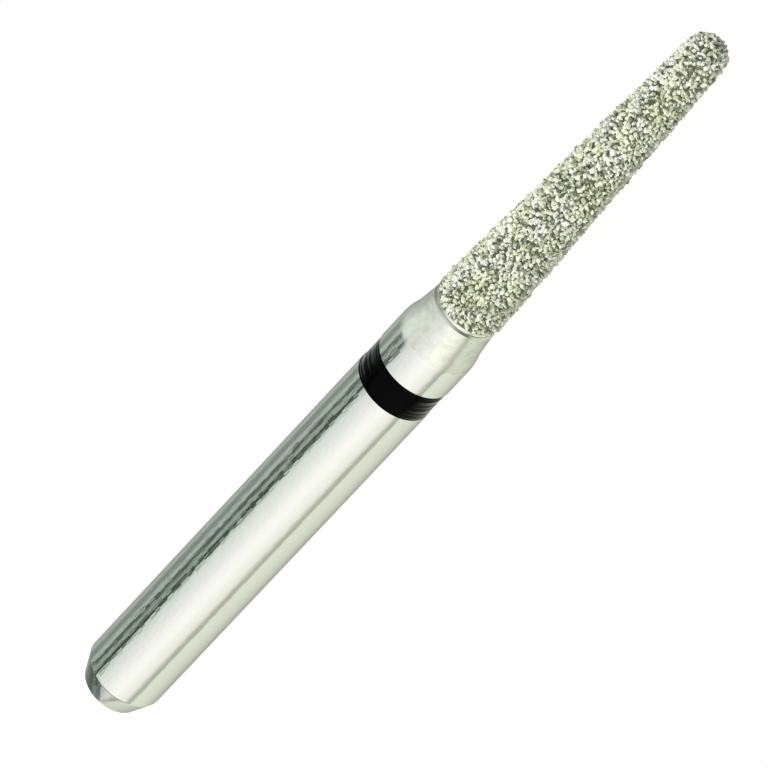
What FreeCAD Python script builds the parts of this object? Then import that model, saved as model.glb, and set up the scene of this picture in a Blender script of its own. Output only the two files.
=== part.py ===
import FreeCAD, Part
import Sketcher
import math
import os
import random

# Tapered round-end diamond bur with a friction-grip shank, in millimetres.
# Its axis is the X axis: the origin is the centre of the shank's end face and the tip points to +X.

doc = FreeCAD.newDocument("dental_bur")
Vector = FreeCAD.Vector

driving_sizes = {
    "shank_diameter": 1.60,
    "shank_length": 11.20,  # end face to the start of the shoulder
    "end_chamfer_length": 0.50,
    "end_chamfer_depth": 0.19,
    "ring_width": 0.70,
    "ring_setback": 0.75,  # front edge of the ring to the shoulder
    "ring_recess_depth": 0.04,
    "ring_thickness": 0.025,
    "crown_length": 0.28,
    "crown_radius": 0.93,
    "cone_length": 0.42,  # end of the crown to the neck
    "neck_root_diameter": 1.39,  # where the cone meets the neck
    "neck_diameter": 1.36,
    "neck_length": 0.22,
    "neck_edge_chamfer": 0.03,
    "core_base_diameter": 1.20,
    "core_tip_diameter": 0.63,
    "core_length": 7.98,  # neck to the core's round tip
    "bond_thickness": 0.05,
    "bare_strip": 0.05,  # plated edge with no grains, beside the neck
    "grain_size": 0.157,
    "grain_height": 0.065,  # how far a mean grain stands out of the bond
}

sheet = doc.addObject("Spreadsheet::Sheet", "Sizes")
for row, (alias, size) in enumerate(driving_sizes.items(), start=1):
    sheet.set("A%d" % row, alias)
    sheet.set("B%d" % row, str(size))
    sheet.setAlias("B%d" % row, alias)
doc.recompute()

# Stations along the axis and radii, as expressions on the sheet.
shank_radius = "Sizes.shank_diameter / 2"
shoulder_at = "Sizes.shank_length"
crown_end = shoulder_at + " + Sizes.crown_length"
neck_at = crown_end + " + Sizes.cone_length"
head_at = neck_at + " + Sizes.neck_length"
core_tip = head_at + " + Sizes.core_length"
neck_radius = "Sizes.neck_diameter / 2"
core_base_radius = "Sizes.core_base_diameter / 2"
core_tip_radius = "Sizes.core_tip_diameter / 2"
tip_centre = core_tip + " - " + core_tip_radius
bond_base_radius = core_base_radius + " + Sizes.bond_thickness"
bond_tip_radius = core_tip_radius + " + Sizes.bond_thickness"
ring_end = shoulder_at + " - Sizes.ring_setback"
ring_start = ring_end + " - Sizes.ring_width"
recess_radius = shank_radius + " - Sizes.ring_recess_depth"
ring_radius = recess_radius + " + Sizes.ring_thickness"


def number(expression):
    return float(sheet.evalExpression(expression))


def turned_sketch(body, label, corners, arcs=None):
    """Draw the closed half-section of a turned piece, with X along the bur and Y out from its axis.

    Each corner is (name, x, y, held): held names the coordinates that are fixed, and the rest follow
    from the arcs. arcs maps the name of the corner where an arc starts to its centre's x and y, what
    of them is held, its radius, and the name of the corner where it runs on from a line, or None.
    """
    arcs = arcs or {}
    sketch = body.newObject("Sketcher::SketchObject", label)
    plane = next(part for part in body.Origin.OriginFeatures if part.Role == "XY_Plane")
    sketch.AttachmentSupport = (plane, [""])
    sketch.MapMode = "FlatFace"

    def hold(name, geometry, position, x, y, held):
        for axis, expression, axis_line in (("x", x, -2), ("y", y, -1)):
            if axis not in held:
                continue
            if expression == "0":
                sketch.addConstraint(Sketcher.Constraint("PointOnObject", geometry, position, axis_line))
                continue
            kind = "Distance" + axis.upper()
            index = sketch.addConstraint(
                Sketcher.Constraint(kind, -1, 1, geometry, position, number(expression)))
            sketch.renameConstraint(index, name + "_" + axis)
            sketch.setExpression("Constraints." + name + "_" + axis, expression)

    spans = []
    for index, (name, x, y, held) in enumerate(corners):
        next_name, next_x, next_y, next_held = corners[(index + 1) % len(corners)]
        start = Vector(number(x), number(y), 0)
        finish = Vector(number(next_x), number(next_y), 0)
        if name not in arcs:
            spans.append((sketch.addGeometry(Part.LineSegment(start, finish)), 1, 2))
            continue
        centre_x, centre_y, centre_held, radius, tangent_at = arcs[name]
        centre = Vector(number(centre_x), number(centre_y), 0)
        first = math.atan2(start.y - centre.y, start.x - centre.x)
        last = math.atan2(finish.y - centre.y, finish.x - centre.x)
        circle = Part.Circle(centre, Vector(0, 0, 1), number(radius))
        geometry = sketch.addGeometry(Part.ArcOfCircle(circle, min(first, last), max(first, last)))
        spans.append((geometry, 1, 2) if first < last else (geometry, 2, 1))
        hold(name + "_centre", geometry, 3, centre_x, centre_y, centre_held)
        index = sketch.addConstraint(Sketcher.Constraint("Radius", geometry, number(radius)))
        sketch.renameConstraint(index, name + "_radius")
        sketch.setExpression("Constraints." + name + "_radius", radius)

    tangent_corners = [arc[4] for arc in arcs.values()]
    for index, (name, x, y, held) in enumerate(corners):
        before, span = spans[index - 1], spans[index]
        kind = "Tangent" if name in tangent_corners else "Coincident"
        sketch.addConstraint(Sketcher.Constraint(kind, before[0], before[2], span[0], span[1]))
        hold(name, span[0], span[1], x, y, held)
    return sketch


def turned_body(name):
    body = doc.addObject("PartDesign::Body", name)
    body.Label = name
    return body


def revolve(body, kind, label, sketch):
    feature = body.newObject("PartDesign::" + kind, label)
    feature.Profile = sketch
    feature.ReferenceAxis = (sketch, ["H_Axis"])
    feature.Angle = 360
    return feature


# Steel blank: shank, shoulder, neck and tapered core, turned and ground from one bar.
def make_steel_blank():
    body = turned_body("steel_blank")
    outline = turned_sketch(body, "turned_outline", [
        ("end_centre", "0", "0", "xy"),
        ("end_edge", "0", shank_radius + " - Sizes.end_chamfer_depth", "xy"),
        ("chamfer", "Sizes.end_chamfer_length", shank_radius, "xy"),
        ("shoulder", shoulder_at, shank_radius, "xy"),
        ("crown", crown_end, shank_radius, "x"),
        ("neck", neck_at, "Sizes.neck_root_diameter / 2", "xy"),
        ("neck_end", head_at + " - Sizes.neck_edge_chamfer", neck_radius, "xy"),
        ("neck_edge", head_at, neck_radius + " - Sizes.neck_edge_chamfer", "xy"),
        ("core_base", head_at, core_base_radius, "xy"),
        ("core_tangent", tip_centre, core_tip_radius, ""),
        ("core_tip", core_tip, "0", "y"),
    ], {
        "shoulder": (shoulder_at, shank_radius + " - Sizes.crown_radius", "x", "Sizes.crown_radius", None),
        "core_tangent": (tip_centre, "0", "xy", core_tip_radius, "core_tangent"),
    })
    revolve(body, "Revolution", "turned_blank", outline)
    recess = turned_sketch(body, "ring_recess_outline", [
        ("floor_start", ring_start, recess_radius, "xy"),
        ("wall_start", ring_start, "Sizes.shank_diameter", "xy"),
        ("wall_end", ring_end, "Sizes.shank_diameter", "xy"),
        ("floor_end", ring_end, recess_radius, "xy"),
    ])
    body.Tip = revolve(body, "Groove", "ring_recess", recess)
    return body


# Black band that fills the shallow recess and marks the grit, a little below the shank's surface.
def make_colour_ring():
    body = turned_body("colour_ring")
    outline = turned_sketch(body, "ring_outline", [
        ("inner_start", ring_start, recess_radius, "xy"),
        ("outer_start", ring_start, ring_radius, "xy"),
        ("outer_end", ring_end, ring_radius, "xy"),
        ("inner_end", ring_end, recess_radius, "xy"),
    ])
    body.Tip = revolve(body, "Revolution", "ring", outline)
    return body


# Nickel plating that covers the core to an even depth and holds the grains.
def make_nickel_bond():
    body = turned_body("nickel_bond")
    outline = turned_sketch(body, "bond_outline", [
        ("inner_base", head_at, core_base_radius, "xy"),
        ("outer_base", head_at, bond_base_radius, "xy"),
        ("outer_tangent", tip_centre, bond_tip_radius, ""),
        ("outer_tip", tip_centre + " + " + bond_tip_radius, "0", "y"),
        ("inner_tip", core_tip, "0", "y"),
        ("inner_tangent", tip_centre, core_tip_radius, ""),
    ], {
        "outer_tangent": (tip_centre, "0", "xy", bond_tip_radius, "outer_tangent"),
        "inner_tip": (tip_centre, "0", "xy", core_tip_radius, "inner_tangent"),
    })
    body.Tip = revolve(body, "Revolution", "plating", outline)
    return body


# Diamond grains: crushed crystals seated side by side all over the bond, each from where it leaves it.
grain_seed = 5
throws_per_place = 30  # tries for each place that a mean grain would fill
grain_widths = (0.78, 1.08)  # least and most, as shares of the mean grain
grain_heights = (0.75, 1.30)
grain_sides = (3, 3, 3, 4, 4)
foot_reach = (0.80, 1.00)  # corners of a grain's foot, as shares of its radius
top_reach = (0.45, 0.75)
corner_shift = 0.15  # how far a corner strays, as a share of a side's angle
top_slope = 0.30  # most that a top leans, as a share of the grain's height over its radius


def bond_surface():
    """Return the length of the bond's outline, and a function that gives x, radius and lean along it."""
    base_x, base_r = number(head_at), number(bond_base_radius)
    tip_x, tip_r = number(tip_centre), number(bond_tip_radius)
    reach = tip_x - base_x
    taper = math.acos(tip_r / math.hypot(base_r, reach)) - math.atan2(reach, base_r)
    straight = (reach + tip_r * math.sin(taper)) / math.cos(taper)

    def place(along):
        if along < straight:
            return base_x + along * math.cos(taper), base_r - along * math.sin(taper), taper
        lean = taper + (along - straight) / tip_r
        return tip_x + tip_r * math.sin(lean), tip_r * math.cos(lean), lean

    return straight + tip_r * (math.pi / 2 - taper), place


def scatter_grains(chance):
    """Throw grains at the bond; each stays where it lands if it is clear of those that stayed before."""
    mean_radius = number("Sizes.grain_size") / 2
    outline_length, place = bond_surface()
    first = number("Sizes.bare_strip") + mean_radius * max(grain_widths)
    widest = place(first)[1]
    throws = int(throws_per_place * widest * outline_length / mean_radius ** 2)
    cell = 2 * mean_radius * max(grain_widths)
    beside = (-1, 0, 1)
    grains, grid = [], {}
    for throw in range(throws):
        x, r, lean = place(chance.uniform(first, outline_length))
        turn = chance.uniform(0, 2 * math.pi)
        radius = mean_radius * chance.uniform(*grain_widths)
        if chance.uniform(0, widest) > r:
            continue
        out = Vector(0, math.cos(turn), math.sin(turn))
        seat = Vector(x, 0, 0) + out * r
        column, row, layer = (math.floor(distance / cell) for distance in seat)
        near = [grain for i in beside for j in beside for k in beside
                for grain in grid.get((column + i, row + j, layer + k), [])]
        if any((seat - other_seat).Length < radius + other_radius for other_seat, other_radius in near):
            continue
        grid.setdefault((column, row, layer), []).append((seat, radius))
        grains.append((seat, Vector(math.sin(lean), 0, 0) + out * math.cos(lean), radius))
    return grains


def crystal(seat, normal, radius, chance):
    """Make one closed crystal: an uneven foot on the bond and a smaller, sloping top, turned half a side."""
    sides = chance.choice(grain_sides)
    height = number("Sizes.grain_height") * chance.uniform(*grain_heights)
    slope = chance.uniform(0, top_slope) * height / radius
    step = 2 * math.pi / sides
    start = chance.uniform(0, step)
    upright = Vector(0, 1, 0) if abs(normal.x) > abs(normal.y) else Vector(1, 0, 0)
    across = normal.cross(upright).normalize()
    beyond = normal.cross(across)

    def corner(side, reaches, lift, lean):
        angle = start + step * (side + chance.uniform(-corner_shift, corner_shift))
        reach = radius * chance.uniform(*reaches)
        sideways, forward = reach * math.cos(angle), reach * math.sin(angle)
        return seat + across * sideways + beyond * forward + normal * (lift + lean * sideways)

    foot = [corner(side, foot_reach, 0, 0) for side in range(sides)]
    top = [corner(side + 0.5, top_reach, height, slope) for side in range(sides)]
    facets = [foot[::-1], top]
    for side in range(sides):
        after = (side + 1) % sides
        facets.append([foot[side], foot[after], top[side]])
        facets.append([foot[after], top[after], top[side]])
    faces = [Part.Face(Part.makePolygon(facet + facet[:1])) for facet in facets]
    return Part.makeSolid(Part.makeShell(faces))


def make_diamond_grains():
    chance = random.Random(grain_seed)
    crystals = [crystal(seat, normal, radius, chance) for seat, normal, radius in scatter_grains(chance)]
    grains = doc.addObject("Part::Feature", "diamond_grains")
    grains.Label = "diamond_grains"
    grains.Shape = Part.makeCompound(crystals)
    grains.Placement = FreeCAD.Placement()
    return grains


pieces = [make_steel_blank(), make_colour_ring(), make_nickel_bond(), make_diamond_grains()]
doc.recompute()

for item in doc.Objects:
    if "Invalid" in item.State or "Error" in item.State:
        raise RuntimeError(item.Label + " failed to build: " + ", ".join(item.State))
for piece in pieces:
    if piece.Shape.isNull() or not piece.Shape.isValid():
        raise RuntimeError(piece.Label + " has no valid shape")

os.makedirs("parts", exist_ok=True)
for piece in pieces:
    piece.Shape.exportStep("parts/" + piece.Label + ".step")
    print(piece.Label, "solids", len(piece.Shape.Solids), "volume mm3", round(piece.Shape.Volume, 4))
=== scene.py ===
import math
import random

import bmesh
import bpy
from mathutils import Matrix, Vector, kdtree, noise


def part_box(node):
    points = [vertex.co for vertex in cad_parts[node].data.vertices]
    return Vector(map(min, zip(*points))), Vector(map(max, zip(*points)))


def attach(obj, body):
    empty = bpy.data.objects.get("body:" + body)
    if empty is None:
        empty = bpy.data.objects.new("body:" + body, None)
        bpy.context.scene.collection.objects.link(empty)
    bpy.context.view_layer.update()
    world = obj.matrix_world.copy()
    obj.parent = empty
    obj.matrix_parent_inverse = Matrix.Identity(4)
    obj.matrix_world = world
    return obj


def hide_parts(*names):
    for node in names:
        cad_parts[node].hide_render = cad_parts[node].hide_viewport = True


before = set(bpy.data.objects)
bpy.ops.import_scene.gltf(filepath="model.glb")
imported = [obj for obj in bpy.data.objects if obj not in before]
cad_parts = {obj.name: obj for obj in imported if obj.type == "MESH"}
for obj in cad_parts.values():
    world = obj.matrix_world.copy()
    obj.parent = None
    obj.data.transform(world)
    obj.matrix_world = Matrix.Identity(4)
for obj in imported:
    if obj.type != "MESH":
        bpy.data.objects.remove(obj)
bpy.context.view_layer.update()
print("frame loaded")

# Places along the bur's X axis and radii, in metres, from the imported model
mm = 0.001
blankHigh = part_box("steel_blank")[1]
ringLow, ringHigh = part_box("colour_ring")
bondLow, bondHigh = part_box("nickel_bond")
shankRadius = blankHigh.y
headStart = bondLow.x
coreTip = blankHigh.x
bondBase = bondHigh.y
floorZ = -shankRadius


# One sRGB hex value as a linear colour
def toLinear(hexColour):
    parts = [int(hexColour[i:i + 2], 16) / 255 for i in (1, 3, 5)]
    return [p / 12.92 if p <= 0.04045 else ((p + 0.055) / 1.055) ** 2.4 for p in parts] + [1.0]


# Settings of the nodes that mix colours and multiply them
mixing = {"data_type": "RGBA"}
multiplying = {"data_type": "RGBA", "blend_type": "MULTIPLY"}


# A node with its settings, its own socket values and what is linked to it
def addNode(tree, kind, settings=None, inputs=None, links=None):
    node = tree.nodes.new(kind)
    for name, value in (settings or {}).items():
        setattr(node, name, value)
    for name, value in (inputs or {}).items():
        node.inputs[name].default_value = value
    for name, source in (links or {}).items():
        tree.links.new(source, node.inputs[name])
    return node


# Colour stops as (place, colour) on a ramp node
def setStops(ramp, stops):
    elements = ramp.color_ramp.elements
    while len(elements) > 1:
        elements.remove(elements[-1])
    for index, (place, colour) in enumerate(stops):
        element = elements[0] if index == 0 else elements.new(place)
        element.position = place
        element.color = colour


# A material with an empty Principled shader, as (material, tree, shader)
def newMaterial(name):
    material = bpy.data.materials.new(name)
    material.use_nodes = True
    tree = material.node_tree
    return material, tree, tree.nodes["Principled BSDF"]


# The finished mesh as an object that rides on the bur
def newPiece(name, bm, material, slotName, *replaced):
    mesh = bpy.data.meshes.new(name)
    bm.to_mesh(mesh)
    bm.free()
    piece = bpy.data.objects.new(name, mesh)
    bpy.context.scene.collection.objects.link(piece)
    mesh.materials.append(material)
    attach(piece, "root")
    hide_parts(*replaced)
    print(name, "faces", len(mesh.polygons))


# Camera: the photograph's view, worked out from the shank's width, the ring's curve and the
# outline.
view = {
    "pixels": 768,
    "pixelsPerMm": 55.15,  # at the aimed point
    "distance": 206.4 * mm,
    "aimX": 9.5 * mm,
    "aimPixel": (388.1, 392.7),
    "tilt": 37.76,  # axis out of the picture plane, tip towards the camera
    "lift": 66.0,  # camera above the floor, seen along the axis
    "turn": 46.84,  # axis in the picture, up from the horizontal
    "sensor": 36.0,
    "nearest": 0.01,  # metres, what the camera still shows
    "farthest": 20,
}


def makeCamera():
    tilt, lift, turn = (math.radians(view[key]) for key in ("tilt", "lift", "turn"))
    axis = Vector((1, 0, 0))
    side = Vector((0, -math.cos(lift), math.sin(lift)))
    towards = axis * math.sin(tilt) + side * math.cos(tilt)
    alongPicture = axis * math.cos(tilt) - side * math.sin(tilt)
    acrossPicture = axis.cross(side)
    right = alongPicture * math.cos(turn) + acrossPicture * math.sin(turn)
    up = alongPicture * math.sin(turn) - acrossPicture * math.cos(turn)
    perPixel = mm / view["pixelsPerMm"]
    middle = view["pixels"] / 2
    place = Vector((view["aimX"], 0, 0)) + towards * view["distance"]
    place -= right * (view["aimPixel"][0] - middle) * perPixel
    place += up * (view["aimPixel"][1] - middle) * perPixel
    data = bpy.data.cameras.new("camera")
    data.sensor_width = view["sensor"]
    data.lens = view["distance"] / (view["pixels"] * perPixel) * view["sensor"]
    data.clip_start = view["nearest"]
    data.clip_end = view["farthest"]
    camera = bpy.data.objects.new("camera", data)
    bpy.context.scene.collection.objects.link(camera)
    turned = Matrix((right, up, towards)).transposed()
    camera.matrix_world = Matrix.Translation(place) @ turned.to_4x4()
    bpy.context.scene.camera = camera


makeCamera()
print("camera set")


# Ground stainless steel: a bright mirror-like shank whose reflections waver and break along the
# axis, and a shoulder and neck that the plating bath left softer and a little mottled. The waver
# is drawn coarser than real grinding marks, which would be too fine to show.
steel = {
    "colour": "#e6e6e2",
    "edgeTint": "#c2c2be",
    "shankRoughness": 0.12,
    "neckRoughness": 0.24,
    "neckMetal": 0.9,  # the plated skin scatters the rest
    "bandLength": 0.16 * mm,  # of the grinding, each band with its own waver round the shank
    "bandStray": 2,  # bands that the end of one wanders over
    "waverWidth": 0.07 * mm,
    "waverDepth": 0.0046 * mm,
    "finerUpTo": -0.60 * mm,  # along Y, on the side that was ground finer
    "fullFrom": -0.10 * mm,
    "finerShare": 0.35,  # of the waver's depth
    "mottle": 0.13 * mm,
    "neckColour": "#e0e1d8",
    "neckStain": "#d2d4ca",
    "stainRange": (0.42, 0.70),  # of the mottle, from clean to stained
    "shoulderAt": 11.2 * mm,
    "shoulderBlend": 0.02 * mm,
}


def makeSteel():
    material, tree, shader = newMaterial("groundStainlessSteel")
    coords = addNode(tree, "ShaderNodeTexCoord").outputs["Object"]
    split = addNode(tree, "ShaderNodeSeparateXYZ", links={"Vector": coords})
    onNeck = addNode(tree, "ShaderNodeMapRange", inputs={
        "From Min": steel["shoulderAt"] - steel["shoulderBlend"],
        "From Max": steel["shoulderAt"] + steel["shoulderBlend"],
    }, links={"Value": split.outputs["X"]}).outputs["Result"]
    strayLength = steel["bandStray"] * steel["bandLength"]
    stray = addNode(tree, "ShaderNodeTexNoise", inputs={
        "Scale": 1 / strayLength, "Detail": 1.0,
    }, links={"Vector": coords}).outputs["Fac"]
    strayed = addNode(tree, "ShaderNodeMath", settings={"operation": "MULTIPLY_ADD"}, inputs={
        1: strayLength,
    }, links={0: stray, 2: split.outputs["X"]})
    band = addNode(tree, "ShaderNodeMath", settings={"operation": "SNAP"}, inputs={
        1: steel["bandLength"],
    }, links={0: strayed.outputs["Value"]})
    banded = addNode(tree, "ShaderNodeCombineXYZ", links={
        "X": band.outputs["Value"], "Y": split.outputs["Y"], "Z": split.outputs["Z"],
    })
    waver = addNode(tree, "ShaderNodeTexNoise", inputs={
        "Scale": 1 / steel["waverWidth"], "Detail": 1.0,
    }, links={"Vector": banded.outputs["Vector"]}).outputs["Fac"]
    mottle = addNode(tree, "ShaderNodeTexNoise", inputs={
        "Scale": 1 / steel["mottle"], "Detail": 3.0,
    }, links={"Vector": coords}).outputs["Fac"]
    height = addNode(tree, "ShaderNodeMix", links={"Factor": onNeck, "A": waver, "B": mottle})
    waverShare = addNode(tree, "ShaderNodeMapRange", inputs={
        "From Min": steel["finerUpTo"], "From Max": steel["fullFrom"],
        "To Min": steel["finerShare"],
    }, links={"Value": split.outputs["Y"]}).outputs["Result"]
    bump = addNode(tree, "ShaderNodeBump", inputs={
        "Distance": steel["waverDepth"],
    }, links={"Height": height.outputs["Result"], "Strength": waverShare})
    rough = addNode(tree, "ShaderNodeMapRange", inputs={
        "To Min": steel["shankRoughness"], "To Max": steel["neckRoughness"],
    }, links={"Value": onNeck}).outputs["Result"]
    metal = addNode(tree, "ShaderNodeMapRange", inputs={
        "To Min": 1.0, "To Max": steel["neckMetal"],
    }, links={"Value": onNeck}).outputs["Result"]
    stained = addNode(tree, "ShaderNodeMapRange", inputs={
        "From Min": steel["stainRange"][0], "From Max": steel["stainRange"][1],
    }, links={"Value": mottle, "To Max": onNeck}).outputs["Result"]
    plated = addNode(tree, "ShaderNodeMix", settings=mixing, inputs={
        "A": toLinear(steel["colour"]), "B": toLinear(steel["neckColour"]),
    }, links={"Factor": onNeck})
    colour = addNode(tree, "ShaderNodeMix", settings=mixing, inputs={
        "B": toLinear(steel["neckStain"]),
    }, links={"Factor": stained, "A": plated.outputs["Result"]})
    shader.inputs["Specular Tint"].default_value = toLinear(steel["edgeTint"])
    tree.links.new(colour.outputs["Result"], shader.inputs["Base Color"])
    tree.links.new(metal, shader.inputs["Metallic"])
    tree.links.new(rough, shader.inputs["Roughness"])
    tree.links.new(bump.outputs["Normal"], shader.inputs["Normal"])
    return material


# Baked black enamel: deep black, with fine turning lines that catch light only where the band is
# seen at a slant.
enamel = {
    "colour": "#010101",
    "roughness": 0.2,
    "lineSpacing": 0.05 * mm,
    "lineLength": 2.5 * mm,
    "lineDepth": 0.003 * mm,
    "slant": (0.36, 0.60),  # from no gloss to full gloss
    "streaks": (0.48, 0.62),  # of the lines, from dull to glossy
    "specular": 0.03,
}


def makeEnamel():
    material, tree, shader = newMaterial("bakedBlackEnamel")
    coords = addNode(tree, "ShaderNodeTexCoord").outputs["Object"]
    across, along = 1 / enamel["lineSpacing"], 1 / enamel["lineLength"]
    lines = addNode(tree, "ShaderNodeMapping", inputs={
        "Scale": (across, along, along),
    }, links={"Vector": coords}).outputs["Vector"]
    streaks = addNode(tree, "ShaderNodeTexNoise", inputs={
        "Scale": 1.0, "Detail": 2.0,
    }, links={"Vector": lines}).outputs["Fac"]
    slant = addNode(tree, "ShaderNodeLayerWeight", inputs={"Blend": 0.5}).outputs["Facing"]
    atSides = addNode(tree, "ShaderNodeMapRange", inputs={
        "From Min": enamel["slant"][0], "From Max": enamel["slant"][1],
    }, links={"Value": slant}).outputs["Result"]
    gloss = addNode(tree, "ShaderNodeMapRange", inputs={
        "From Min": enamel["streaks"][0], "From Max": enamel["streaks"][1],
    }, links={"Value": streaks, "To Max": atSides}).outputs["Result"]
    bump = addNode(tree, "ShaderNodeBump", inputs={
        "Strength": 1.0, "Distance": enamel["lineDepth"],
    }, links={"Height": streaks})
    shader.inputs["Base Color"].default_value = toLinear(enamel["colour"])
    shader.inputs["Roughness"].default_value = enamel["roughness"]
    shader.inputs["Specular IOR Level"].default_value = enamel["specular"]
    shader.inputs["Coat Roughness"].default_value = enamel["roughness"]
    tree.links.new(gloss, shader.inputs["Coat Weight"])
    tree.links.new(bump.outputs["Normal"], shader.inputs["Normal"])
    return material


# Electroplated nickel: a warm grey, finely nodular matt metal between the grains, drawn darker
# than bare nickel as painted shade in the crevices there, and a smooth bright strip beside the
# neck, where the bath had no grains to hold.
nickel = {
    # Ground colours: nickel grey, drawn darker as painted shade between the grains
    "dark": "#454738",
    "light": "#8d907c",
    "strip": "#e2e2da",
    "stripEnd": (0.075 * mm, 0.105 * mm),  # from the head's base, where the strip turns matt
    "stripRoughness": 0.22,
    "roughness": 0.45,
    "nodule": 0.03 * mm,
    "noduleDepth": 0.006 * mm,
    "noduleRange": (0.3, 0.7),  # from dark to light
}


def makeNickel():
    material, tree, shader = newMaterial("electroplatedNickelWithPaintedShade")
    coords = addNode(tree, "ShaderNodeTexCoord").outputs["Object"]
    split = addNode(tree, "ShaderNodeSeparateXYZ", links={"Vector": coords})
    inCoat = addNode(tree, "ShaderNodeMapRange", inputs={
        "From Min": headStart + nickel["stripEnd"][0],
        "From Max": headStart + nickel["stripEnd"][1],
    }, links={"Value": split.outputs["X"]}).outputs["Result"]
    nodules = addNode(tree, "ShaderNodeTexNoise", inputs={
        "Scale": 1 / nickel["nodule"], "Detail": 2.0,
    }, links={"Vector": coords}).outputs["Fac"]
    # Nodular ground from dark to light, its darkness partly painted shade in the crevices between
    # grains
    ground = addNode(tree, "ShaderNodeValToRGB", links={"Fac": nodules})
    darkShadeAt, lightAt = nickel["noduleRange"]
    setStops(ground, [(darkShadeAt, toLinear(nickel["dark"])), (lightAt, toLinear(nickel["light"]))])
    colour = addNode(tree, "ShaderNodeMix", settings=mixing, inputs={
        "A": toLinear(nickel["strip"]),
    }, links={"Factor": inCoat, "B": ground.outputs["Color"]})
    rough = addNode(tree, "ShaderNodeMapRange", inputs={
        "To Min": nickel["stripRoughness"], "To Max": nickel["roughness"],
    }, links={"Value": inCoat})
    bump = addNode(tree, "ShaderNodeBump", inputs={
        "Distance": nickel["noduleDepth"],
    }, links={"Height": nodules, "Strength": inCoat})
    shader.inputs["Metallic"].default_value = 1.0
    tree.links.new(colour.outputs["Result"], shader.inputs["Base Color"])
    tree.links.new(rough.outputs["Result"], shader.inputs["Roughness"])
    tree.links.new(bump.outputs["Normal"], shader.inputs["Normal"])
    return material


# Crushed diamond: hard, glassy facets, pale yellow-green to grey-white, each grain with its own
# tone and each facet drawn lighter or darker at random as painted light and shade, and the coat a
# little yellower in some patches than in others.
diamond = {
    "tones": ("#6e725d", "#d6dac4", "#f4f7ea", "#fefff8"),
    "yellower": "#f3f5e2",
    "greyer": "#f8f8f8",
    "patch": 0.45 * mm,
    "patchRange": (0.38, 0.62),  # from greyer to yellower
    "roughness": 0.20,
    "ior": 2.42,
}


def makeDiamond():
    material, tree, shader = newMaterial("crushedDiamond")
    coords = addNode(tree, "ShaderNodeTexCoord").outputs["Object"]
    tone = addNode(tree, "ShaderNodeAttribute", settings={
        "attribute_name": "grainToneAndFacetShade",
    }).outputs["Fac"]
    # Colour from the grain's own tone and its facet's painted light and shade
    colour = addNode(tree, "ShaderNodeValToRGB", links={"Fac": tone})
    spread = 1 / (len(diamond["tones"]) - 1)
    setStops(colour, [(index * spread, toLinear(t)) for index, t in enumerate(diamond["tones"])])
    patches = addNode(tree, "ShaderNodeTexNoise", inputs={
        "Scale": 1 / diamond["patch"], "Detail": 1.0,
    }, links={"Vector": coords}).outputs["Fac"]
    cast = addNode(tree, "ShaderNodeValToRGB", links={"Fac": patches})
    greyAt, yellowAt = diamond["patchRange"]
    setStops(cast, [(greyAt, toLinear(diamond["greyer"])),
                    (yellowAt, toLinear(diamond["yellower"]))])
    tinted = addNode(tree, "ShaderNodeMix", settings=multiplying, inputs={
        "Factor": 1.0,
    }, links={"A": colour.outputs["Color"], "B": cast.outputs["Color"]})
    shader.inputs["Roughness"].default_value = diamond["roughness"]
    shader.inputs["IOR"].default_value = diamond["ior"]
    tree.links.new(tinted.outputs["Result"], shader.inputs["Base Color"])
    return material


# Turned shapes start as a half-section in the XZ plane and are spun about the X axis.
turning = {
    "weld": 0.00001 * mm,
    "crease": 0.5,  # radians, from which a corner stays crisp
    "edgeSegments": 4,
    "edgeReach": 0.002 * mm,  # how near to a turned edge its vertices lie
}


# Draw the section on to a corner, in pieces where the surface needs them
def nextCorner(bm, vert, x, radius, pieces=1):
    start, end = vert.co.copy(), Vector((x, 0, radius))
    for piece in range(pieces):
        corner = bm.verts.new(start.lerp(end, (piece + 1) / pieces))
        bm.edges.new((vert, corner))
        vert = corner
    return vert


# Draw the section on round a centre (x, radius), turning towards the axis
def nextArc(bm, vert, centre, angle, steps):
    swept = bmesh.ops.spin(
        bm, geom=[vert], cent=(centre[0], 0, centre[1]), axis=(0, 1, 0), dvec=(0, 0, 0),
        angle=angle, steps=steps, use_merge=False, use_normal_flip=False, use_duplicate=False)
    return next(item for item in swept["geom_last"] if isinstance(item, bmesh.types.BMVert))


# Turn the half-section into a closed shell
def spinRound(bm, segments):
    bmesh.ops.spin(
        bm, geom=bm.verts[:] + bm.edges[:], cent=(0, 0, 0), axis=(1, 0, 0), dvec=(0, 0, 0),
        angle=2 * math.pi, steps=segments, use_merge=True, use_normal_flip=False,
        use_duplicate=False)
    bmesh.ops.remove_doubles(bm, verts=bm.verts, dist=turning["weld"])
    bmesh.ops.recalc_face_normals(bm, faces=bm.faces)
    for face in bm.faces:
        face.smooth = True


# Keep turned corners crisp while the round shading runs smoothly elsewhere
def keepCreases(bm):
    for edge in bm.edges:
        edge.smooth = edge.calc_face_angle(0) < turning["crease"]


# Soften the turned edge that runs round the bur at one place
def roundEdge(bm, x, radius, width):
    near = turning["edgeReach"]

    def onEdge(vert):
        return abs(vert.co.x - x) < near and abs(math.hypot(vert.co.y, vert.co.z) - radius) < near

    edges = [edge for edge in bm.edges if all(onEdge(vert) for vert in edge.verts)]
    bmesh.ops.bevel(bm, geom=edges, offset=width, offset_type="OFFSET",
                    segments=turning["edgeSegments"], profile=0.5, affect="EDGES", material=-1)


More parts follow.
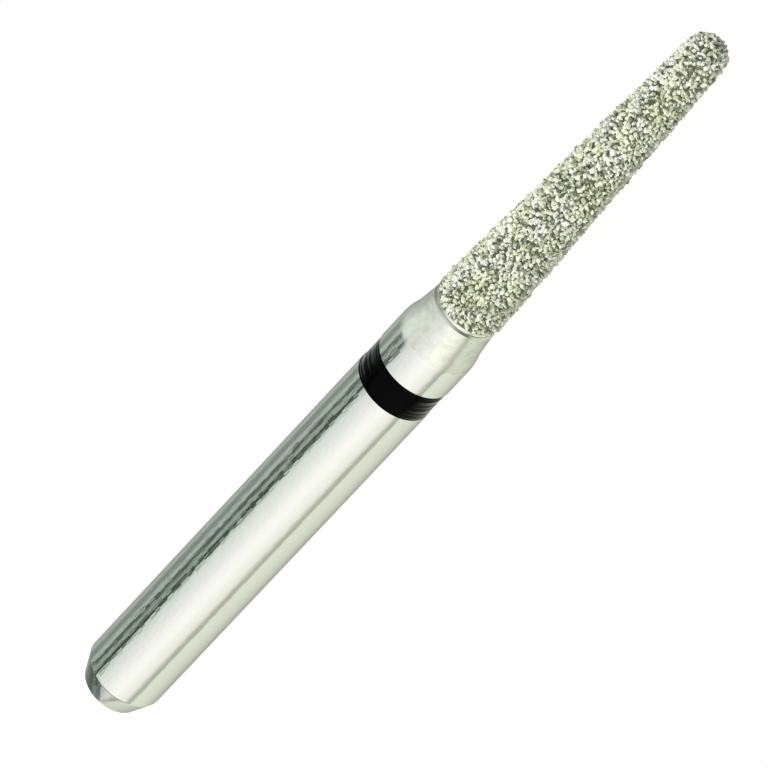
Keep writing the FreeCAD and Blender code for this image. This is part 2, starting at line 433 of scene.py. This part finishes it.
# Steel blank, in one piece from the chamfered end to the tip under the coat
blank = {
    "segments": 240,
    "chamferLength": 0.50 * mm,
    "chamferDepth": 0.19 * mm,
    "recessDepth": 0.04 * mm,
    "crownEase": 0.10 * mm,  # polished off before the shoulder
    "crownLength": 0.28 * mm,
    "crownRadius": 1.25 * mm,
    "crownSteps": 8,
    "coneLength": 0.42 * mm,
    "neckRoot": 0.695 * mm,
    "neckRadius": 0.68 * mm,
    "neckEdge": 0.03 * mm,
    "coreBase": 0.60 * mm,
    "coreTip": 0.315 * mm,
    "coreTipSteps": 10,
    "rimEdge": 0.03 * mm,
    "chamferEdge": 0.02 * mm,
}
tipCentre = coreTip - blank["coreTip"]  # of the round tips of the core and the bond
tipRadius = bondHigh.x - tipCentre  # of the bond


def makeBlank(material):
    bm = bmesh.new()
    endRadius = shankRadius - blank["chamferDepth"]
    recessRadius = shankRadius - blank["recessDepth"]
    crownStart = steel["shoulderAt"] - blank["crownEase"]
    crownEnd = steel["shoulderAt"] + blank["crownLength"]
    crownTurn = math.asin((blank["crownEase"] + blank["crownLength"]) / blank["crownRadius"])
    vert = bm.verts.new((0, 0, 0))
    vert = nextCorner(bm, vert, 0, endRadius)
    vert = nextCorner(bm, vert, blank["chamferLength"], shankRadius)
    vert = nextCorner(bm, vert, ringLow.x, shankRadius)
    vert = nextCorner(bm, vert, ringLow.x, recessRadius)
    vert = nextCorner(bm, vert, ringHigh.x, recessRadius)
    vert = nextCorner(bm, vert, ringHigh.x, shankRadius)
    vert = nextCorner(bm, vert, crownStart, shankRadius)
    vert = nextArc(bm, vert, (crownStart, shankRadius - blank["crownRadius"]), crownTurn,
                   blank["crownSteps"])
    vert = nextCorner(bm, vert, crownEnd + blank["coneLength"], blank["neckRoot"])
    vert = nextCorner(bm, vert, headStart - blank["neckEdge"], blank["neckRadius"])
    vert = nextCorner(bm, vert, headStart, blank["neckRadius"] - blank["neckEdge"])
    vert = nextCorner(bm, vert, headStart, blank["coreBase"])
    vert = nextCorner(bm, vert, tipCentre, blank["coreTip"])
    nextArc(bm, vert, (tipCentre, 0), math.pi / 2, blank["coreTipSteps"])
    spinRound(bm, blank["segments"])
    roundEdge(bm, 0, endRadius, blank["rimEdge"])
    roundEdge(bm, blank["chamferLength"], shankRadius, blank["chamferEdge"])
    keepCreases(bm)
    newPiece("turned_blank", bm, material, "steel", "steel_blank")


# Enamel band, with its paint drawn down a little at both edges
band = {"segments": 240, "softEdge": 0.012 * mm}


def makeBand(material):
    bm = bmesh.new()
    inner = shankRadius - blank["recessDepth"]
    outer = ringHigh.y
    first = bm.verts.new((ringLow.x, 0, inner))
    vert = nextCorner(bm, first, ringLow.x, outer)
    vert = nextCorner(bm, vert, ringHigh.x, outer)
    vert = nextCorner(bm, vert, ringHigh.x, inner)
    bm.edges.new((vert, first))
    spinRound(bm, band["segments"])
    roundEdge(bm, ringLow.x, outer, band["softEdge"])
    roundEdge(bm, ringHigh.x, outer, band["softEdge"])
    keepCreases(bm)
    newPiece("enamel_ring", bm, material, "ring", "colour_ring")


# Grains: each large crystal stands where the CAD grain does, with more facets and its foot in the
# bond, and finer ones fill the gaps between them as the plating bath packs them.
grit = {
    "seed": 11,
    "weld": 0.0005 * mm,
    "batch": 40,  # crystals made at a time, for speed
    "throws": 34000,
    "throwFrom": 0.125 * mm,  # the strip without grains, from the head's base
    "cell": 0.1 * mm,  # of the grid in which neighbours are looked up
    "fineRadius": (0.038 * mm, 0.070 * mm),
    "fineHeight": (0.050 * mm, 0.085 * mm),
    "roomShare": 0.60,  # of two crystals' radii, kept between their seats
    "sunk": 0.03 * mm,
    "waistHeight": 0.35,  # share of the height
    "foot": (0.9, 4),  # reach as a share of the radius, and corners
    "waist": (1.0, 5),
    "top": (0.66, 3),
    "stretch": 1.35,
    "cornerShift": 0.3,  # share of the turn from one corner to the next
    "cornerReach": (0.8, 1.02),  # share of the ring's reach
    "cornerDrop": 0.3,  # share of the height
    # Painted light and shade: how far each facet's tone is drawn lighter or darker than its
    # grain's
    "facetShadeSpread": 0.46,
}


# Seat, normal, radius and height of every grain of the CAD node
def readGrains():
    bm = bmesh.new()
    bm.from_mesh(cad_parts["diamond_grains"].data)
    bmesh.ops.remove_doubles(bm, verts=bm.verts, dist=grit["weld"])
    seen, grains = set(), []
    for start in bm.verts:
        if start in seen:
            continue
        seen.add(start)
        island, todo = [], [start]
        while todo:
            vert = todo.pop()
            island.append(vert.co.copy())
            for edge in vert.link_edges:
                other = edge.other_vert(vert)
                if other not in seen:
                    seen.add(other)
                    todo.append(other)
        middle = sum(island, Vector()) / len(island)
        normal = (middle - Vector((min(middle.x, tipCentre), 0, 0))).normalized()
        heights = [(corner - middle).dot(normal) for corner in island]
        base = min(heights)
        seat = middle + normal * base
        radius = max((corner - seat).cross(normal).length for corner in island)
        grains.append((seat, normal, radius, max(heights) - base))
    bm.free()
    return grains


# Finer crystals thrown at the bond, kept where they find room between the others
def throwFineGrains(grains):
    chance = random.Random(grit["seed"] + 1)
    length = tipCentre - headStart
    slope = (bondBase - tipRadius) / length
    cells = {}
    steps = (-2, -1, 0, 1, 2)

    def cellOf(point):
        return tuple(math.floor(part / grit["cell"]) for part in point)

    def keep(grain):
        cells.setdefault(cellOf(grain[0]), []).append(grain)

    for grain in grains:
        keep(grain)
    fine = []
    for throw in range(grit["throws"]):
        x = headStart + grit["throwFrom"] + chance.random() * (length + tipRadius)
        around = chance.uniform(-math.pi, math.pi)
        if x < tipCentre:
            reach = bondBase - slope * (x - headStart)
            if chance.random() > reach / bondBase:
                continue
            normal = Vector((slope, math.cos(around), math.sin(around))).normalized()
            seat = Vector((x, reach * math.cos(around), reach * math.sin(around)))
        else:
            rise = (x - tipCentre) / tipRadius
            if chance.random() > tipRadius / bondBase or rise > 1:
                continue
            lean = math.sqrt(1 - rise ** 2)
            normal = Vector((rise, lean * math.cos(around), lean * math.sin(around)))
            seat = Vector((tipCentre, 0, 0)) + normal * tipRadius
        radius = chance.uniform(*grit["fineRadius"])
        home = cellOf(seat)
        near = [grain for dx in steps for dy in steps for dz in steps
                for grain in cells.get((home[0] + dx, home[1] + dy, home[2] + dz), ())]
        if all((seat - other[0]).length > grit["roomShare"] * (radius + other[2])
               for other in near):
            grain = (seat, normal, radius, chance.uniform(*grit["fineHeight"]))
            keep(grain)
            fine.append(grain)
    return fine


# One faceted crystal, as the hull of a few points round its foot, waist and top
def addCrystal(bm, toneAndShadeLayer, grain, chance):
    seat, normal, radius, height = grain
    tone = chance.random()
    stretch = chance.uniform(1, grit["stretch"])
    turn = Matrix.Rotation(chance.uniform(0, math.pi), 3, normal)
    turned = turn @ normal.orthogonal().normalized()
    across = turned * stretch
    beyond = normal.cross(turned) / stretch
    rings = (
        (-grit["sunk"], *grit["foot"]),
        (height * grit["waistHeight"], *grit["waist"]),
        (height, *grit["top"]),
    )
    shift = grit["cornerShift"]
    points = []
    for level, reach, count in rings:
        start = chance.uniform(0, 2 * math.pi)
        for index in range(count):
            angle = start + 2 * math.pi * (index + chance.uniform(-shift, shift)) / count
            out = radius * reach * chance.uniform(*grit["cornerReach"])
            rise = level - height * chance.uniform(0, grit["cornerDrop"])
            points.append(seat + across * (out * math.cos(angle))
                          + beyond * (out * math.sin(angle)) + normal * rise)
    verts = [bm.verts.new(point) for point in points]
    hull = bmesh.ops.convex_hull(bm, input=verts, use_existing_faces=False)
    loose = [item for item in hull["geom_interior"] if isinstance(item, bmesh.types.BMVert)]
    bmesh.ops.delete(bm, geom=loose, context="VERTS")
    for item in hull["geom"]:
        if isinstance(item, bmesh.types.BMFace) and item.is_valid:
            # Each facet: the grain's own tone, drawn lighter or darker as painted light and shade
            item[toneAndShadeLayer] = tone + chance.uniform(-1, 1) * grit["facetShadeSpread"]
            item.smooth = False


def makeCrystals(material, grains):
    chance = random.Random(grit["seed"])
    whole = bmesh.new()
    whole.faces.layers.float.new("grainToneAndFacetShade")
    for start in range(0, len(grains), grit["batch"]):
        batch = bmesh.new()
        toneAndShadeLayer = batch.faces.layers.float.new("grainToneAndFacetShade")
        for grain in grains[start:start + grit["batch"]]:
            addCrystal(batch, toneAndShadeLayer, grain, chance)
        mesh = bpy.data.meshes.new("batch")
        batch.to_mesh(mesh)
        batch.free()
        whole.from_mesh(mesh)
        bpy.data.meshes.remove(mesh)
    newPiece("diamond_crystals", whole, material, "grit", "diamond_grains")


# Nickel plating: the bond's skin creeps up round each grain and is lumpy between them.
plating = {
    "segments": 100,
    "pieces": 240,
    "tipSteps": 14,
    "coatFrom": 0.07 * mm,  # from the head's base, where the plain strip ends
    "coatBlend": 0.05 * mm,
    "creep": 0.010 * mm,
    "creepWidth": 0.015 * mm,
    "lump": 0.006 * mm,
    "lumpSize": 0.05 * mm,
}


def makePlating(material, grains):
    bm = bmesh.new()
    first = bm.verts.new((headStart, 0, blank["coreBase"]))
    vert = nextCorner(bm, first, headStart, bondBase)
    vert = nextCorner(bm, vert, tipCentre, tipRadius, plating["pieces"])
    nextArc(bm, vert, (tipCentre, 0), math.pi / 2, plating["tipSteps"])
    spinRound(bm, plating["segments"])
    tree = kdtree.KDTree(len(grains))
    for index, grain in enumerate(grains):
        tree.insert(grain[0], index)
    tree.balance()
    for vert in bm.verts:
        inCoat = (vert.co.x - headStart - plating["coatFrom"]) / plating["coatBlend"]
        if inCoat <= 0:
            continue
        spot, index, distance = tree.find(vert.co)
        gap = max(0.0, distance - grains[index][2])
        rise = plating["creep"] * math.exp(-gap / plating["creepWidth"])
        rise += plating["lump"] * noise.noise(vert.co / plating["lumpSize"])
        vert.co += vert.normal * rise * min(1.0, inCoat)
    newPiece("nickel_plating", bm, material, "bond", "nickel_bond")


grains = readGrains()
print("grains read", len(grains))
makeBlank(makeSteel())
makeBand(makeEnamel())
makePlating(makeNickel(), grains)
fineGrains = throwFineGrains(grains)
print("fine grains", len(fineGrains))
makeCrystals(makeDiamond(), grains + fineGrains)


# Studio: a light tent that runs along the bur, as stops of angle round its axis, each with a
# colour and a level. The near horizon is 0, overhead 90 and the far horizon 180. The panel, the
# card and the flags below darken or brighten it in some directions only: an edge gives the part
# of a direction along X from which each begins and the part from which it is full.
tent = [
    (-90, "#ffffff", 0.60), (-10, "#dce0d0", 0.80), (-5, "#dbe0d0", 0.77), (-1, "#dce0d0", 0.69),
    (2, "#e4e4d6", 0.74), (5, "#eeeee2", 0.86), (8, "#f4f4ea", 0.98), (13, "#f8faf2", 1.09),
    (24, "#fafcf4", 1.14), (45, "#fffffb", 1.22), (60, "#fffffd", 1.17), (80, "#fbfffd", 1.04),
    (105, "#f7fffb", 0.91), (150, "#f7fffb", 0.90), (175, "#f4fff6", 0.66), (200, "#f4fff6", 0.66),
    (270, "#ffffff", 0.50),
]
# A dark panel behind the shank's end, with slots of light in it, which only the shank mirrors
panel = {
    "edge": (-0.50, -0.60),
    "stops": [
        (108, "#ffffff", 1.00), (117, "#f2fff4", 0.82), (123, "#d8e2d6", 0.06),
        (130, "#d8e2d6", 0.07), (135, "#dce8de", 0.66), (142, "#dce8de", 0.60),
        (147, "#cedacf", 0.17), (154, "#cedacf", 0.20), (160, "#e2eae6", 0.90),
        (168, "#e2eae6", 1.02), (175, "#e3eae8", 0.66), (186, "#e3eae8", 0.64),
        (195, "#e4eae8", 0.90), (203, "#e6eae7", 1.50), (240, "#e6eae7", 1.75),
    ],
}
# A card that the shoulder and the neck mirror, brightest just in front of the top
card = {
    "edge": (-0.57, -0.44),
    "stops": [
        (-90, "#ffffff", 1.00), (8, "#ffffff", 1.00), (15, "#ffffff", 1.10),
        (30, "#ffffff", 1.22), (45, "#ffffff", 1.22), (62, "#ffffff", 1.14),
        (80, "#ffffff", 1.02), (106, "#ffffff", 1.02), (125, "#ffffff", 1.08),
        (150, "#ffffff", 1.16), (180, "#ffffff", 1.10), (270, "#ffffff", 1.00),
    ],
}
# Flags on both sides of the head, beyond its tip, which shade its sides and leave its top lit
flags = {
    "edge": (-0.05, 0.15),
    "stops": [
        (-90, "#ffffff", 0.50), (0, "#ffffff", 0.15), (30, "#ffffff", 0.15),
        (60, "#ffffff", 0.60), (85, "#ffffff", 1.10), (120, "#ffffff", 0.90),
        (150, "#ffffff", 0.50), (180, "#ffffff", 0.30), (270, "#ffffff", 0.50),
    ],
}
# Cards beyond both ends, as levels from behind the shank's end at 0 to beyond the tip at 1
endCards = [
    (0.0, 0.72), (0.012, 0.72), (0.04, 0.40), (0.09, 0.46), (0.13, 1.0),
    (0.80, 1.0), (0.86, 0.8), (1.0, 0.8),
]


# Colour round the bur's axis from stops of angle
def roundStops(tree, place, stops):
    ramp = addNode(tree, "ShaderNodeValToRGB", links={"Fac": place})
    setStops(ramp, [
        ((angle + 90) / 360, [part * level for part in toLinear(colour)[:3]] + [1.0])
        for angle, colour, level in stops])
    return ramp.outputs["Color"]


def makeWorld():
    world = bpy.data.worlds.new("studio")
    world.use_nodes = True
    bpy.context.scene.world = world
    tree = world.node_tree
    background = tree.nodes["Background"]
    direction = addNode(tree, "ShaderNodeTexCoord").outputs["Generated"]
    split = addNode(tree, "ShaderNodeSeparateXYZ", links={"Vector": direction})
    angle = addNode(tree, "ShaderNodeMath", settings={"operation": "ARCTAN2"},
                    links={0: split.outputs["Y"], 1: split.outputs["Z"]})
    place = addNode(tree, "ShaderNodeMapRange", inputs={
        "From Min": -math.pi, "From Max": math.pi,
    }, links={"Value": angle.outputs["Value"]}).outputs["Result"]
    shade = roundStops(tree, place, tent)
    for part in (panel, card, flags):
        reach = addNode(tree, "ShaderNodeMapRange", inputs={
            "From Min": part["edge"][0], "From Max": part["edge"][1],
        }, links={"Value": split.outputs["X"]}).outputs["Result"]
        shade = addNode(tree, "ShaderNodeMix", settings=multiplying, links={
            "Factor": reach, "A": shade, "B": roundStops(tree, place, part["stops"]),
        }).outputs["Result"]
    ends = addNode(tree, "ShaderNodeMapRange", inputs={
        "From Min": -1.0, "From Max": 1.0,
    }, links={"Value": split.outputs["X"]})
    endShade = addNode(tree, "ShaderNodeValToRGB", links={"Fac": ends.outputs["Result"]})
    setStops(endShade, [(at, (level, level, level, 1.0)) for at, level in endCards])
    closed = addNode(tree, "ShaderNodeMix", settings=multiplying, inputs={
        "Factor": 1.0,
    }, links={"A": shade, "B": endShade.outputs["Color"]})
    path = addNode(tree, "ShaderNodeLightPath")
    # Plain white behind the bur, where the camera looks straight at it
    shown = addNode(tree, "ShaderNodeMix", settings=mixing, inputs={
        "B": (1.0, 1.0, 1.0, 1.0),
    }, links={"Factor": path.outputs["Is Camera Ray"], "A": closed.outputs["Result"]})
    tree.links.new(shown.outputs["Result"], background.inputs["Color"])
    background.inputs["Strength"].default_value = 1.0


# Floor card: grey-green to the light, and lifted to white for the camera and to pale in the steel.
# Its front edge is what the shank's near dark line lies against, and it ends just behind the bur,
# so that the shank's far edge mirrors the tent.
floorCard = {
    "length": 120 * mm,
    "inFront": 8.7 * mm,
    "behind": 1.2 * mm,
    "colour": "#6e7b58",
    "roughness": 0.9,
    "seenLift": 0.94,
    "mirroredLift": 0.68,
}


def makeFloor():
    width = floorCard["inFront"] + floorCard["behind"]
    bm = bmesh.new()
    bmesh.ops.create_grid(bm, x_segments=1, y_segments=1, size=0.5)
    bmesh.ops.scale(bm, verts=bm.verts, vec=(floorCard["length"], width, 1))
    bmesh.ops.translate(bm, verts=bm.verts, vec=(
        view["aimX"], width / 2 - floorCard["inFront"], floorZ))
    mesh = bpy.data.meshes.new("floor")
    bm.to_mesh(mesh)
    bm.free()
    floor = bpy.data.objects.new("floor", mesh)
    bpy.context.scene.collection.objects.link(floor)
    material, tree, shader = newMaterial("paleCard")
    shader.inputs["Base Color"].default_value = toLinear(floorCard["colour"])
    shader.inputs["Roughness"].default_value = floorCard["roughness"]
    path = addNode(tree, "ShaderNodeLightPath")
    mirrored = addNode(tree, "ShaderNodeMath", settings={"operation": "MULTIPLY"}, inputs={
        1: floorCard["mirroredLift"],
    }, links={0: path.outputs["Is Glossy Ray"]})
    lift = addNode(tree, "ShaderNodeMath", settings={"operation": "MULTIPLY_ADD"}, inputs={
        1: floorCard["seenLift"],
    }, links={0: path.outputs["Is Camera Ray"], 2: mirrored.outputs["Value"]})
    shader.inputs["Emission Color"].default_value = (1, 1, 1, 1)
    tree.links.new(lift.outputs["Value"], shader.inputs["Emission Strength"])
    mesh.materials.append(material)


# A large soft lamp almost overhead, kept out of the mirror-like shank, in degrees, metres and
# watts
lamp = {"elevation": 84.0, "distance": 0.6, "size": 0.22, "power": 1.9}


def makeLamp():
    data = bpy.data.lights.new("softbox", "AREA")
    data.shape = "DISK"
    data.size = lamp["size"]
    data.energy = lamp["power"]
    softbox = bpy.data.objects.new("softbox", data)
    bpy.context.scene.collection.objects.link(softbox)
    lift = math.radians(lamp["elevation"])
    softbox.location = Vector((0, math.cos(lift), math.sin(lift))) * lamp["distance"]
    softbox.rotation_euler = softbox.location.to_track_quat("Z", "Y").to_euler()
    softbox.visible_glossy = False


makeWorld()
makeFloor()
makeLamp()
bpy.context.scene.view_settings.view_transform = "Standard"
print("studio set")
